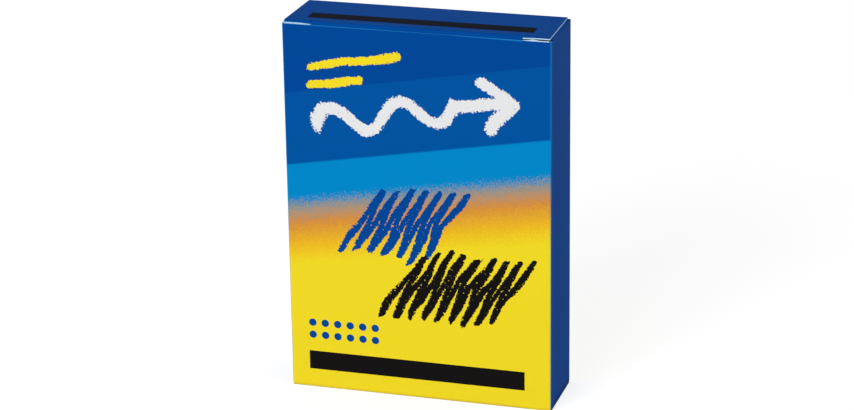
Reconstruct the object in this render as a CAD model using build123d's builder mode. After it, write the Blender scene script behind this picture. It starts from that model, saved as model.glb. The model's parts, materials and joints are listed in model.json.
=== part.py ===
from build123d import *
from math import cos, radians, sin, sqrt
import os

# A tuck-top folding carton that holds twelve wax markers, standing upright in two nested rows.
# Millimetres, +Z up, +X to the right, -Y to the front.
# The origin is on the floor, under the middle of the carton.

os.makedirs("parts", exist_ok=True)

# Marker: a cast wax stick in a glued paper sleeve
wax_diameter = 11.6
marker_length = 111.0
cone_length = 11.8
nose_diameter = 2.2
sleeve_wall = 0.16
sleeve_glue = 0.04
bare_band = 7.4
butt_setback = 1.0

# How the markers stand: the back row nests between the markers of the front row
markers_per_row = 6
neighbour_play = 0.5
row_play = 0.12
wall_play = 0.25

# Board of the carton
board = 0.45
crease_inner = 0.25
crease_leg = 0.3
fold_gap = 0.05
glue_film = 0.08

# Lid and tuck flap
headroom = 3.3
front_edge_drop = 0.25
lid_front_inset = 0.3
lid_rear_inset = 1.0
lid_opening = 180.0
tuck_length = 10.5
tuck_lean = 6.5
tuck_gap = 0.4
tuck_side_gap = 0.8
tuck_taper = 1.2
tuck_corner_radius = 5.0
tuck_clearance = 0.3
tuck_follow = 0.25
fold_margin = 3.0
slit_length = 8.6
slit_width = 0.8

# Dust flaps under the lid
dust_flap_gap = 34.0
dust_front_gap = 0.9
dust_rear_gap = 1.3
dust_shoulder = 11.0
dust_front_slope = 0.25
dust_follow = 0.35
dust_slope_margin = 0.06

# Glued seam inside the back left corner
glue_flap_width = 9.5
glue_flap_taper = 3.0
glue_flap_end_gap = 0.5
seam_setback = 0.3
seam_glue_margin = 1.5

# Sealed bottom
bottom_flap_inset = 0.5
outer_flap_setback = 0.4
inner_flap_setback = 3.0
floor_flap_gap = 34.0
floor_flap_side_gap = 1.3
floor_flap_chamfer = 4.0
glue_spot_width = 9.0
glue_spot_length = 12.0

# Marker sizes that follow
wax_radius = wax_diameter / 2
nose_radius = nose_diameter / 2
sleeve_inner = wax_radius + sleeve_glue
marker_radius = sleeve_inner + sleeve_wall
marker_diameter = 2 * marker_radius
cone_start = marker_length - cone_length
sleeve_end = cone_start - bare_band

# Levels, from the floor up
inner_flap_level = board + glue_film
floor_flap_level = inner_flap_level + board + glue_film
floor_level = floor_flap_level + board
low_floor_level = inner_flap_level + board
marker_top = floor_level + marker_length
dust_bottom = marker_top + headroom
dust_top = dust_bottom + board
lid_bottom = dust_top + fold_gap
outer_height = lid_bottom + board
side_top = dust_bottom - fold_gap
back_top = lid_bottom - fold_gap
front_top = outer_height - front_edge_drop

# Creases
crease_outer = crease_inner + board
corner_reach = crease_outer + crease_leg
front_bottom = corner_reach
back_bottom = inner_flap_level + corner_reach
side_bottom = floor_flap_level + corner_reach

# The tuck flap leans in beside the cones of the front row, so its tip sets the room in front of them
lean = radians(tuck_lean)
tuck_axis_level = outer_height - board / 2
tuck_tip_level = tuck_axis_level - tuck_length * cos(lean) - board / 2 * sin(lean)
tuck_reach = tuck_gap + board / 2 + tuck_length * sin(lean) + board / 2 * cos(lean) + tuck_clearance
cone_share = min(max((marker_top - tuck_tip_level) / cone_length, 0.0), 1.0)
cone_radius_there = nose_radius + (wax_radius - nose_radius) * cone_share
front_play = max(wall_play, tuck_reach - (marker_radius - cone_radius_there))

# Plan sizes
pitch = marker_diameter + neighbour_play
row_spacing = sqrt((marker_diameter + row_play) ** 2 - (pitch / 2) ** 2)
inner_width = (markers_per_row - 0.5) * pitch + marker_diameter + 2 * wall_play
inner_depth = front_play + marker_diameter + row_spacing + wall_play
outer_width = inner_width + 2 * board
outer_depth = inner_depth + 2 * board
front_inside = -inner_depth / 2
back_inside = inner_depth / 2
flat_width = outer_width - 2 * crease_outer
lap_depth = outer_depth - 2 * (board + glue_film)

# Hinge lines
lid_axis_y = outer_depth / 2 - board / 2
tuck_axis_y = front_inside + tuck_gap + board / 2
dust_axis_x = outer_width / 2 - board / 2
dust_axis_z = dust_bottom + board / 2

print(f"carton {outer_width:.2f} x {outer_depth:.2f} x {outer_height:.2f} mm")
print(f"lid hinge   y {lid_axis_y:.3f}  z {tuck_axis_level:.3f}")
print(f"tuck hinge  y {tuck_axis_y:.3f}  z {tuck_axis_level:.3f}")
print(f"dust hinges x {dust_axis_x:.3f}  z {dust_axis_z:.3f}")


def save(piece, name):
    """Label a finished piece and write its file."""
    piece.part.label = name
    export_step(piece.part, f"parts/{name}.step")


def carton_ring(depth):
    """Plan of the board tube, one board thick with rounded creases, in the open sketch."""
    RectangleRounded(outer_width, depth, crease_outer)
    RectangleRounded(outer_width - 2 * board, depth - 2 * board, crease_inner, mode=Mode.SUBTRACT)


def bent_strip(reach):
    """Section of a flap folded square off a wall: a short leg up and a long leg out, one board thick."""
    with BuildSketch() as strip:
        with BuildLine():
            Polyline(
                (0, corner_reach),
                (0, 0),
                (reach, 0),
                (reach, board),
                (board, board),
                (board, corner_reach),
                close=True,
            )
        make_face()
        fillet(strip.vertices().sort_by_distance((0, 0))[0], crease_outer)
        fillet(strip.vertices().sort_by_distance((board, board))[0], crease_inner)
    return strip.sketch


# Front panel: flat wall with both front creases, its top a raw edge in front of the tuck flap
with BuildPart() as front_panel:
    with BuildSketch(Plane.XY.offset(front_bottom)):
        carton_ring(outer_depth)
        with Locations((0, -outer_depth / 2)):
            Rectangle(outer_width, 2 * corner_reach, mode=Mode.INTERSECT)
    extrude(amount=side_top - front_bottom)
    with BuildSketch(Plane.XY.offset(side_top)):
        with Locations((0, -outer_depth / 2)):
            Rectangle(flat_width, board, align=(Align.CENTER, Align.MIN))
    extrude(amount=front_top - side_top)
save(front_panel, "front_panel")

# Right panel: plain wall between the creases
with BuildPart() as right_panel:
    with BuildSketch(Plane.XY.offset(side_bottom)):
        with Locations((outer_width / 2, 0)):
            Rectangle(board, outer_depth - 2 * corner_reach, align=(Align.MAX, Align.CENTER))
    extrude(amount=side_top - side_bottom)
save(right_panel, "right_panel")

# Left panel: its back edge stops where the glue flap folds off it
with BuildPart() as left_panel:
    with BuildSketch(Plane.XY.offset(side_bottom)):
        with Locations((-outer_width / 2, -outer_depth / 2 + corner_reach)):
            Rectangle(
                board,
                outer_depth / 2 + lap_depth / 2 - 2 * corner_reach,
                align=(Align.MIN, Align.MIN),
            )
    extrude(amount=side_top - side_bottom)
save(left_panel, "left_panel")

# Back panel: the right crease is round, and the left end is a raw edge over the glue flap
with BuildPart() as back_panel:
    with BuildSketch(Plane.XY.offset(back_bottom)):
        carton_ring(outer_depth)
        with Locations((0, outer_depth / 2)):
            Rectangle(outer_width, 2 * corner_reach, mode=Mode.INTERSECT)
        with Locations((-outer_width / 2, outer_depth / 2)):
            Rectangle(2 * corner_reach, 2 * corner_reach, mode=Mode.SUBTRACT)
        with Locations((-outer_width / 2 + seam_setback, outer_depth / 2)):
            Rectangle(corner_reach, board, align=(Align.MIN, Align.MAX))
    extrude(amount=back_top - back_bottom)
save(back_panel, "back_panel")

# Glue flap: folded off the left panel, its two ends cut back towards the free edge
glue_flap_bottom = side_bottom + glue_flap_end_gap
glue_flap_top = side_top - glue_flap_end_gap
flap_left = -outer_width / 2
flap_right = flap_left + glue_flap_width
with BuildPart() as glue_flap:
    with BuildSketch(Plane.XY.offset(glue_flap_bottom)):
        carton_ring(lap_depth)
        with Locations((flap_left, lap_depth / 2)):
            Rectangle(2 * glue_flap_width, 2 * corner_reach, mode=Mode.INTERSECT)
    extrude(amount=glue_flap_top - glue_flap_bottom)
    with BuildSketch(Plane.XZ):
        Polygon(
            (flap_left, glue_flap_bottom),
            (flap_right, glue_flap_bottom + glue_flap_taper),
            (flap_right, glue_flap_top - glue_flap_taper),
            (flap_left, glue_flap_top),
            align=None,
        )
    extrude(amount=outer_depth, both=True, mode=Mode.INTERSECT)
save(glue_flap, "glue_flap")

# Seam glue: a film between the glue flap and the back panel
seam_glue_left = flap_left + corner_reach
seam_glue_right = flap_right - seam_glue_margin
with BuildPart() as seam_glue:
    with BuildSketch(Plane.XY.offset(glue_flap_bottom + glue_flap_taper)):
        with Locations((seam_glue_left, lap_depth / 2)):
            Rectangle(seam_glue_right - seam_glue_left, glue_film, align=(Align.MIN, Align.MIN))
    extrude(amount=glue_flap_top - glue_flap_bottom - 2 * glue_flap_taper)
save(seam_glue, "seam_glue")

# Outer bottom flap: folded off the front panel, it is what the carton stands on
bottom_half_width = outer_width / 2 - bottom_flap_inset
front_corner = Plane(origin=(0, -outer_depth / 2, 0), x_dir=(0, 1, 0), z_dir=(1, 0, 0))
outer_flap_section = bent_strip(outer_depth - outer_flap_setback)
with BuildPart() as bottom_outer_flap:
    with BuildSketch(front_corner):
        add(outer_flap_section)
    extrude(amount=bottom_half_width, both=True)
save(bottom_outer_flap, "bottom_outer_flap")

# Inner bottom flap: folded off the back panel, over the outer one
back_corner = Plane(origin=(0, outer_depth / 2, inner_flap_level), x_dir=(0, -1, 0), z_dir=(-1, 0, 0))
inner_flap_section = bent_strip(outer_depth - board - inner_flap_setback)
with BuildPart() as bottom_inner_flap:
    with BuildSketch(back_corner):
        add(inner_flap_section)
    extrude(amount=bottom_half_width, both=True)
save(bottom_inner_flap, "bottom_inner_flap")

# Bottom dust flaps: folded off the side panels, on top of the inner flap
floor_flap_section = bent_strip((outer_width - floor_flap_gap) / 2)
floor_flap_half_depth = inner_depth / 2 - floor_flap_side_gap
for name, side in (("bottom_left_dust_flap", -1), ("bottom_right_dust_flap", 1)):
    side_corner = Plane(
        origin=(side * outer_width / 2, 0, floor_flap_level),
        x_dir=(-side, 0, 0),
        z_dir=(0, side, 0),
    )
    with BuildPart() as floor_flap:
        with BuildSketch(side_corner):
            add(floor_flap_section)
        extrude(amount=floor_flap_half_depth, both=True)
        free_corners = floor_flap.edges().filter_by(Axis.Z).sort_by(lambda e: side * e.center().X)[:2]
        chamfer(free_corners, floor_flap_chamfer)
    save(floor_flap, name)

# Bottom glue: two spots between the big flaps, and one above each of them under a dust flap
glue_spot_x = (outer_width + floor_flap_gap) / 4
with BuildPart() as bottom_glue:
    with BuildSketch(Plane.XY.offset(board)):
        with Locations((-glue_spot_x, 0), (glue_spot_x, 0)):
            Rectangle(glue_spot_width, glue_spot_length)
    extrude(amount=glue_film)
    with BuildSketch(Plane.XY.offset(inner_flap_level + board)):
        with Locations((-glue_spot_x, 0), (glue_spot_x, 0)):
            Rectangle(glue_spot_width, glue_spot_length)
    extrude(amount=glue_film)
save(bottom_glue, "bottom_glue")

# Lid: a tapered panel with a round crease at the back.
# Between the slits its front edge is undercut, so that the tuck flap can fold in under it.
lid_front_y = tuck_axis_y - board / 2
lid_half_front = outer_width / 2 - lid_front_inset
lid_half_rear = outer_width / 2 - lid_rear_inset
fold_half_width = lid_half_front - slit_length
fold_limit = radians(tuck_lean + tuck_follow * lid_opening + fold_margin)


def undercut_y(height):
    """Front edge of the lid at a height over the tuck axis, clear of the flap folded right in."""
    return tuck_axis_y + (board / 2 + fold_gap - height * sin(fold_limit)) / cos(fold_limit)


with BuildPart() as lid_panel:
    with BuildSketch(Plane.YZ):
        with Locations((lid_front_y, lid_bottom)):
            Rectangle(lid_axis_y - lid_front_y, board, align=(Align.MIN, Align.MIN))
        with Locations((lid_axis_y, tuck_axis_level)):
            Circle(board / 2)
    extrude(amount=outer_width / 2, both=True)
    with BuildSketch(Plane.XY.offset(lid_bottom)):
        Polygon(
            (-lid_half_front, lid_front_y),
            (lid_half_front, lid_front_y),
            (lid_half_rear, outer_depth / 2),
            (-lid_half_rear, outer_depth / 2),
            align=None,
        )
    extrude(amount=board, mode=Mode.INTERSECT)
    with BuildSketch(Plane.YZ):
        Polygon(
            (tuck_axis_y - board, tuck_axis_level - board),
            (undercut_y(-board), tuck_axis_level - board),
            (undercut_y(board), tuck_axis_level + board),
            (tuck_axis_y - board, tuck_axis_level + board),
            align=None,
        )
    extrude(amount=fold_half_width, both=True, mode=Mode.SUBTRACT)
save(lid_panel, "lid_panel")

# Tuck flap: hangs from the lid's front crease, leaning in, with round lower corners.
# The slits free its two shoulders from the lid.
tuck_half_top = inner_width / 2 - tuck_side_gap
tuck_half_low = tuck_half_top - tuck_taper
tuck_plane = Plane(
    origin=(0, tuck_axis_y, tuck_axis_level),
    x_dir=(1, 0, 0),
    z_dir=(0, cos(lean), sin(lean)),
)
with BuildPart() as tuck_flap:
    with BuildSketch(tuck_plane):
        with BuildLine():
            Polyline(
                (-fold_half_width, 0),
                (fold_half_width, 0),
                (fold_half_width, slit_width),
                (tuck_half_top, slit_width),
                (tuck_half_low, tuck_length),
                (-tuck_half_low, tuck_length),
                (-tuck_half_top, slit_width),
                (-fold_half_width, slit_width),
                close=True,
            )
        outline = make_face()
        fillet(outline.vertices().group_by(Axis.Y)[-1], tuck_corner_radius)
    extrude(amount=board / 2, both=True)
    with BuildSketch(Plane.YZ):
        with Locations((tuck_axis_y, tuck_axis_level)):
            Circle(board / 2)
    extrude(amount=fold_half_width, both=True)
save(tuck_flap, "tuck_flap")

# Dust flaps under the lid: round crease on the side panel, both edges cut back towards the free end.
# The back edge slopes so that the lid always clears the flaps as they rise with it.
dust_length = dust_axis_x - dust_flap_gap / 2
dust_front_y = tuck_axis_y + board / 2 + dust_front_gap
dust_rear_y = back_inside - dust_rear_gap
dust_rear_slope = dust_follow + dust_slope_margin
dust_end_front_y = dust_front_y + dust_front_slope * (dust_length - dust_shoulder)
dust_end_rear_y = dust_rear_y - dust_rear_slope * dust_length
for name, side in (("left_dust_flap", -1), ("right_dust_flap", 1)):
    with BuildPart() as dust_flap:
        with BuildSketch(Plane.XY.offset(dust_bottom)):
            Polygon(
                (side * dust_axis_x, dust_front_y),
                (side * (dust_axis_x - dust_shoulder), dust_front_y),
                (side * (dust_axis_x - dust_length), dust_end_front_y),
                (side * (dust_axis_x - dust_length), dust_end_rear_y),
                (side * dust_axis_x, dust_rear_y),
                align=None,
            )
        extrude(amount=board)
        with BuildSketch(Plane.XZ.offset(-dust_front_y)):
            with Locations((side * dust_axis_x, dust_axis_z)):
                Circle(board / 2)
        extrude(amount=-(dust_rear_y - dust_front_y))
    save(dust_flap, name)

# Markers: the front row stands against the left panel, and the back row against the right one
first_x = -inner_width / 2 + wall_play + marker_radius
front_row_y = front_inside + front_play + marker_radius
marker_places = []
for row in range(2):
    for column in range(markers_per_row):
        marker_places.append((first_x + (column + row / 2) * pitch, front_row_y + row * row_spacing))

for number, (x, y) in enumerate(marker_places, start=1):
    on_dust_flap = abs(x) + wax_radius > floor_flap_gap / 2
    stand = floor_level if on_dust_flap else low_floor_level
    with BuildPart() as wax_stick:
        with BuildSketch(Plane(origin=(x, y, stand), x_dir=(1, 0, 0), z_dir=(0, -1, 0))):
            with BuildLine():
                Polyline(
                    (0, 0),
                    (wax_radius, 0),
                    (wax_radius, cone_start),
                    (nose_radius, marker_length),
                    (0, marker_length),
                    close=True,
                )
            make_face()
        revolve(axis=Axis((x, y, 0), (0, 0, 1)))
    save(wax_stick, f"marker_{number:02d}_wax")

    with BuildPart() as paper_sleeve:
        with BuildSketch(Plane.XY.offset(stand + butt_setback)):
            with Locations((x, y)):
                Circle(marker_radius)
                Circle(sleeve_inner, mode=Mode.SUBTRACT)
        extrude(amount=sleeve_end - butt_setback)
    save(paper_sleeve, f"marker_{number:02d}_sleeve")
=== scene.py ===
# %% [markdown]
# # A carton of wax markers
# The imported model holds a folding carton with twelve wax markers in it: walls, flaps, creases and sticks,
# all at their real size. This lesson dresses that model. Every board part gets its printed outside, its
# bare inside and its white cut edges, and every marker gets wax and a paper sleeve. The lid has to open
# with all of this on, so each new piece rides on the body of the part that it stands for.

# %% Load the model
import json
from math import cos, pi, radians, sin, tan

import bmesh
import bpy
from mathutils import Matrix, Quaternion, Vector


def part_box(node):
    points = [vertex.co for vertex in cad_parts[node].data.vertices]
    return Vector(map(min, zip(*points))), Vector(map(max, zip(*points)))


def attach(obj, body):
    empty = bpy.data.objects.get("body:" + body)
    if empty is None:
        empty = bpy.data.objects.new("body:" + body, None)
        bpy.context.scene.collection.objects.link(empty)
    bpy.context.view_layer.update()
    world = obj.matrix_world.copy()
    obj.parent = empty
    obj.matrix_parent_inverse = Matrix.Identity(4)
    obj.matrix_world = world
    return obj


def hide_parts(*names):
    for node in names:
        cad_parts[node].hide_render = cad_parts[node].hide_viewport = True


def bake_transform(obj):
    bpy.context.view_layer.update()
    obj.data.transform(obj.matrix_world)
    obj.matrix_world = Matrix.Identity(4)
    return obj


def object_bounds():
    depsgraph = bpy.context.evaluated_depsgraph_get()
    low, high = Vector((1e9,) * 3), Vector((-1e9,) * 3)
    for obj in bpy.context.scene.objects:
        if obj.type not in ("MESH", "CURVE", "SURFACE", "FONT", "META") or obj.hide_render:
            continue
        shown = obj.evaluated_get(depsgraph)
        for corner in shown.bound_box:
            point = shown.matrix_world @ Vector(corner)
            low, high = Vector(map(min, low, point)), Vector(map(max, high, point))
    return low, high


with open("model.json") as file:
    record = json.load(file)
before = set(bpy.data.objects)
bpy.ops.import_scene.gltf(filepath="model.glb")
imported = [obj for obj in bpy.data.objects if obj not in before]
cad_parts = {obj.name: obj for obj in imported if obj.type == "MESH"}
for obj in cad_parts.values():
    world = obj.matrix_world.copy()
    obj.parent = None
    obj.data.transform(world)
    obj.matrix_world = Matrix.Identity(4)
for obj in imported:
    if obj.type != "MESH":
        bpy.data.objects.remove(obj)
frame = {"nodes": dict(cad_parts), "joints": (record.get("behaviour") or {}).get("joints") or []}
mm = 0.001
cad_low, cad_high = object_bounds()
half_width = cad_high.x
half_depth = cad_high.y
hinge = {joint["name"]: Vector(joint["pos_m"]) for joint in frame["joints"]}
print("carton", [round(side / mm, 2) for side in cad_high - cad_low], "mm, joints", sorted(hinge))

# %% [markdown]
# ## Camera
# The photograph was taken from the right and a little above, with a long lens. The carton's edges give the
# camera's direction, tilt and distance. The place is worked out by stepping back from the point that the
# camera looks at, and a tracking quaternion turns the camera to it, because no constraint is then needed.

# %% Camera
azimuth = radians(16.83)
elevation = radians(19.83)
roll = radians(-0.84)
distance = 829.1 * mm
sensor_width = 36
lens_length = 117.59
looked_at = Vector((3.02 * mm, cad_low.y, 62.88 * mm))
backwards = Vector((sin(azimuth) * cos(elevation), -cos(azimuth) * cos(elevation), sin(elevation)))

bpy.ops.object.select_all(action="DESELECT")
bpy.ops.object.camera_add(location=looked_at + backwards * distance)
camera = bpy.context.object
camera.rotation_mode = "QUATERNION"
camera.rotation_quaternion = (-backwards).to_track_quat("-Z", "Y") @ Quaternion((0, 0, 1), roll)
camera.data.sensor_width = sensor_width
camera.data.lens = lens_length
bpy.context.scene.camera = camera
print("camera stands", round(distance, 3), "m away, lens", lens_length, "mm")

# %% [markdown]
# ## Node helpers
# A material is a net of small nodes. A few helpers keep that net short to write: one adds any node and
# feeds its sockets, one adds a sum, a product or another step of arithmetic, and the others do what every
# finish needs.

# %% Node helpers
def node(tree, kind, sockets, **options):
    """Add a node, set its options, and feed its sockets with values or with other nodes' outputs."""
    made = tree.nodes.new("ShaderNode" + kind)
    for option, value in options.items():
        setattr(made, option, value)
    pairs = sockets.items() if isinstance(sockets, dict) else enumerate(sockets)
    for key, value in pairs:
        if isinstance(value, bpy.types.NodeSocket):
            tree.links.new(value, made.inputs[key])
        else:
            made.inputs[key].default_value = value
    return made.outputs[0] if made.outputs else None


def calc(tree, operation, *values):
    """One step of arithmetic on numbers or sockets."""
    return node(tree, "Math", values, operation=operation)


def blend_colours(tree, share, under, over):
    """The colour under, covered by the colour over as far as share says."""
    mix = node(tree, "Mix", {0: share, 6: under, 7: over}, data_type="RGBA")
    return mix.node.outputs[2]


def ramp_between(tree, value, start, end):
    """0 before start, 1 after end, and a soft step between."""
    return node(tree, "MapRange", {0: value, 1: start, 2: end}, interpolation_type="SMOOTHSTEP")


def new_finish(name):
    """An empty node material and its tree."""
    finish = bpy.data.materials.new(name)
    finish.use_nodes = True
    finish.node_tree.nodes.clear()
    return finish, finish.node_tree


def coat(tree, colour, roughness, shine, height, strength, depth):
    """Close a material with one shader: its colour, roughness and shine, and a relief from a height."""
    bump = node(tree, "Bump", {"Height": height, "Strength": strength, "Distance": depth})
    shader = node(tree, "BsdfPrincipled", {
        "Base Color": colour, "Roughness": roughness, "Specular IOR Level": shine, "Normal": bump})
    node(tree, "OutputMaterial", {"Surface": shader})


# %% [markdown]
# ## White studio
# The photograph shows the carton cut out on white. A large pale floor catches a soft shadow. The floor adds
# a little light of its own, but only towards the camera and towards reflections, so the background is white
# and no extra light falls on the board. The sky does the same above the floor's edge.

# %% Floor and sky
floor_size = 6
floor_gap = 0.02 * mm
floor_grey = (0.42, 0.42, 0.42, 1)
floor_glow = 0.76
sky_light = 0.35
pure_white = (1, 1, 1, 1)


def seen_directly(tree):
    """1 for rays from the camera, in reflections or through clear things, and 0 for light on its way."""
    path = tree.nodes.new("ShaderNodeLightPath").outputs
    glossy_or_clear = calc(tree, "MAXIMUM", path["Is Glossy Ray"], path["Is Transmission Ray"])
    return calc(tree, "MAXIMUM", path["Is Camera Ray"], glossy_or_clear)


bpy.ops.object.select_all(action="DESELECT")
bpy.ops.mesh.primitive_plane_add(size=floor_size, location=(0, 0, -floor_gap))
floor = bpy.context.object
floor.name = "studio_floor"
paper, tree = new_finish("floor_paper")
matt = node(tree, "BsdfDiffuse", {"Color": floor_grey})
glow_strength = calc(tree, "MULTIPLY", seen_directly(tree), floor_glow)
glow = node(tree, "Emission", {"Color": pure_white, "Strength": glow_strength})
both = node(tree, "AddShader", [matt, glow])
node(tree, "OutputMaterial", {"Surface": both})
floor.data.materials.append(paper)

sky = bpy.data.worlds.new("studio_sky")
bpy.context.scene.world = sky
sky.use_nodes = True
tree = sky.node_tree
tree.nodes.clear()
sky_strength = node(tree, "MapRange", {0: seen_directly(tree), 3: sky_light, 4: 1.0})
backdrop = node(tree, "Background", {"Color": pure_white, "Strength": sky_strength})
node(tree, "OutputWorld", {"Surface": backdrop})
bpy.context.scene.view_settings.view_transform = "Standard"
print("floor and sky ready")

# %% [markdown]
# ## Lamps
# The front of the carton is the brightest side, the lid a little darker, and the right side darker again.
# One broad lamp in front and to the left does that. Two weak ones, on the right and behind, keep the other
# sides from going black.

# %% Lamps
middle = (cad_low + cad_high) / 2


def soft_lamp(name, place, size, watts):
    """A square area lamp at a place, turned to the middle of the carton."""
    place = Vector(place)
    bpy.ops.object.select_all(action="DESELECT")
    bpy.ops.object.light_add(type="AREA", location=place)
    lamp = bpy.context.object
    lamp.name = name
    lamp.rotation_mode = "QUATERNION"
    lamp.rotation_quaternion = (middle - place).to_track_quat("-Z", "Y")
    lamp.data.size = size
    lamp.data.energy = watts
    print(name, "with", watts, "W")


soft_lamp("front_lamp", place=(-0.5, -1.5, 0.75), size=1.0, watts=20.3)
soft_lamp("side_lamp", place=(1.6, -0.5, 0.7), size=0.8, watts=3.5)
soft_lamp("back_lamp", place=(1.3, 1.4, 0.5), size=1.2, watts=7)

# %% [markdown]
# ## Place, wear and painted highlight
# The print is drawn by place, in millimetres of the part's frame, because then it meets across neighbouring
# panels. Wear and a painted highlight are drawn by place too. Along the upright creases and the front's top
# edge the blue is painted lighter, partly ink stretched thin and partly a painted highlight of the rounded
# edge. The fold of the lid rubs that top edge, most of all beside the right slit, so there the light line
# is wider.

# %% Place, wear and painted highlight
lid_low, lid_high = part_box("lid_panel")
slit_length = 8.6 * mm
fold_half = lid_high.x - slit_length
wear_and_highlight_start = 10.0
light_wear_and_highlight = 0.13
heavy_wear_and_highlight = 0.48
crease_narrowing = 2.0
edge_narrowing = 2.4


def place_in_mm(tree):
    """The point's place in the part's frame, in millimetres, as a vector and as three numbers."""
    coordinates = node(tree, "TexCoord", {}).node.outputs["Object"]
    place = node(tree, "VectorMath", [coordinates, (1000, 1000, 1000)], operation="MULTIPLY")
    axes = node(tree, "SeparateXYZ", [place]).node.outputs
    return place, axes[0], axes[1], axes[2]


def speckle(tree, place, per_mm, detail):
    """Even noise between 0 and 1, with so many grains to the millimetre."""
    return node(tree, "TexNoise", {"Vector": place, "Scale": per_mm, "Detail": detail})


def crease_distance(tree, x, y, z):
    """Millimetres from the nearest upright crease, or from the top or bottom edge of the front."""
    to_side = calc(tree, "SUBTRACT", half_width / mm, calc(tree, "ABSOLUTE", x))
    to_face = calc(tree, "SUBTRACT", half_depth / mm, calc(tree, "ABSOLUTE", y))
    to_front = calc(tree, "ADD", half_depth / mm, y)
    slit_x = fold_half / mm
    light_edge = lid_low.z / mm - light_wear_and_highlight
    heavy_edge = lid_low.z / mm - heavy_wear_and_highlight
    worn_and_highlit_top = node(tree, "MapRange", {0: x, 1: wear_and_highlight_start, 2: slit_x, 3: light_edge, 4: heavy_edge})
    past_slit = calc(tree, "GREATER_THAN", x, slit_x)
    top_edge = calc(tree, "MULTIPLY_ADD", past_slit, light_edge - heavy_edge, worn_and_highlit_top)
    to_end = calc(tree, "MINIMUM", calc(tree, "SUBTRACT", top_edge, z), z)
    upright = calc(tree, "MAXIMUM", calc(tree, "MULTIPLY", to_side, crease_narrowing), to_face)
    level = calc(tree, "MAXIMUM", calc(tree, "MULTIPLY", to_end, edge_narrowing), to_front)
    return calc(tree, "MINIMUM", upright, level)


# %% [markdown]
# ## The board's finish
# The carton is white board, printed and varnished on one side. All printed parts share one finish: the
# picture is the base colour, the varnish is an even satin with faint waves in it, and near a crease the
# blue is painted lighter and more cyan, partly worn ink and partly a painted highlight, with a ragged rim.
# A function makes it for any picture, so that no part needs a net of its own.

# %% Board finish
# Lighter cyan blue for creases: partly ink worn thin, partly painted highlight.
worn_and_highlit_blue = (0.02, 0.33, 0.76, 1)
worn_and_highlit_share = 0.62
crease_rim = 1.30
crease_core = 0.45
crease_ragged = 0.4


def varnished(name, picture):
    """A printed and varnished board finish. The picture function gives the ink colour at a place."""
    finish, tree = new_finish(name)
    place, x, y, z = place_in_mm(tree)
    ink = picture(tree, place, x, y, z)
    grain = speckle(tree, place, 2.2, 3.0)
    # Painted highlight and wear: near a crease the blue is mixed towards a lighter cyan blue.
    ragged = calc(tree, "MULTIPLY_ADD", grain, crease_ragged, crease_distance(tree, x, y, z))
    on_crease = ramp_between(tree, ragged, crease_rim, crease_core)
    blueness = calc(tree, "SUBTRACT", 1.0, node(tree, "SeparateColor", [ink]))
    worn_and_highlit = calc(tree, "MULTIPLY", calc(tree, "MULTIPLY", on_crease, blueness), worn_and_highlit_share)
    colour = blend_colours(tree, worn_and_highlit, ink, worn_and_highlit_blue)
    waves = speckle(tree, place, 0.03, 1.0)
    fibres = speckle(tree, place, 6.0, 4.0)
    relief = calc(tree, "MULTIPLY_ADD", fibres, 0.004, waves)
    gloss = node(tree, "MapRange", {0: fibres, 3: 0.40, 4: 0.52})
    coat(tree, colour, gloss, shine=0.004, height=relief, strength=0.5, depth=0.6 * mm)
    return finish


# %% [markdown]
# ## Colours of the print
# The inks are some deep blues, a sky blue, a warm yellow, the tones between these two, black and the white
# of the board. They are written as linear colours, which is what a shader works with.

# %% Inks
night_blue = (0.001, 0.061, 0.317, 1)
deep_blue = (0.001, 0.068, 0.335, 1)
even_blue = (0.001, 0.076, 0.352, 1)
clear_blue = (0.001, 0.094, 0.380, 1)
sky_blue = (0.001, 0.262, 0.63, 1)
dusk = (0.34, 0.32, 0.27, 1)
orange = (0.74, 0.29, 0.05, 1)
golden = (0.93, 0.53, 0.018, 1)
yellow = (0.97, 0.77, 0.022, 1)
shaded_yellow = (0.85, 0.62, 0.02, 1)
black = (0.009, 0.008, 0.008, 1)
black_on_blue = (0.002, 0.004, 0.012, 1)
white = (0.86, 0.87, 0.88, 1)

# %% [markdown]
# ## Plain sides and lid
# Both narrow sides, the lid and the flaps are solid blue. A slow change of tone keeps a printed solid from
# looking like flat paint, because ink never lies quite evenly. The narrow sides get a painted highlight:
# their blue is lighter towards the front crease. The lid has one plain black stripe.

# %% Plain blue and the lid
side_highlight_start = -6.0
side_highlight_end = -11.5
side_highlight_share = 0.35
side_zone = 0.1
lid_stripe_rows = (-6.6, -1.3)
lid_stripe_ends = (-34.9, 34.4)


def solid_blue(tree, place, x, y, z):
    """Blue of a slowly changing tone, with a painted highlight near the front crease of a narrow side."""
    tone = speckle(tree, place, 0.05, 2.0)
    even = blend_colours(tree, tone, night_blue, even_blue)
    # Painted highlight: the narrow sides turn lighter towards the front crease.
    side_highlight = calc(tree, "MULTIPLY", ramp_between(tree, y, side_highlight_start, side_highlight_end), side_highlight_share)
    on_side = calc(tree, "GREATER_THAN", calc(tree, "ABSOLUTE", x), half_width / mm - side_zone)
    return blend_colours(tree, calc(tree, "MULTIPLY", side_highlight, on_side), even, clear_blue)


def lies_between(tree, value, ends):
    """1 where a value lies between two ends, and 0 elsewhere."""
    above = calc(tree, "GREATER_THAN", value, ends[0])
    below = calc(tree, "LESS_THAN", value, ends[1])
    return calc(tree, "MULTIPLY", above, below)


def bar(tree, across, along, rows, ends):
    """A crisp rectangle: 1 inside it and 0 outside, for two coordinates in millimetres."""
    return calc(tree, "MULTIPLY", lies_between(tree, across, rows), lies_between(tree, along, ends))


def lid_picture(tree, place, x, y, z):
    """Plain blue with one black stripe."""
    stripe = bar(tree, y, x, lid_stripe_rows, lid_stripe_ends)
    return blend_colours(tree, stripe, solid_blue(tree, place, x, y, z), black_on_blue)


blue_board = varnished("blue_board", solid_blue)
lid_board = varnished("lid_board", lid_picture)
print("finishes:", blue_board.name, lid_board.name)

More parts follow.
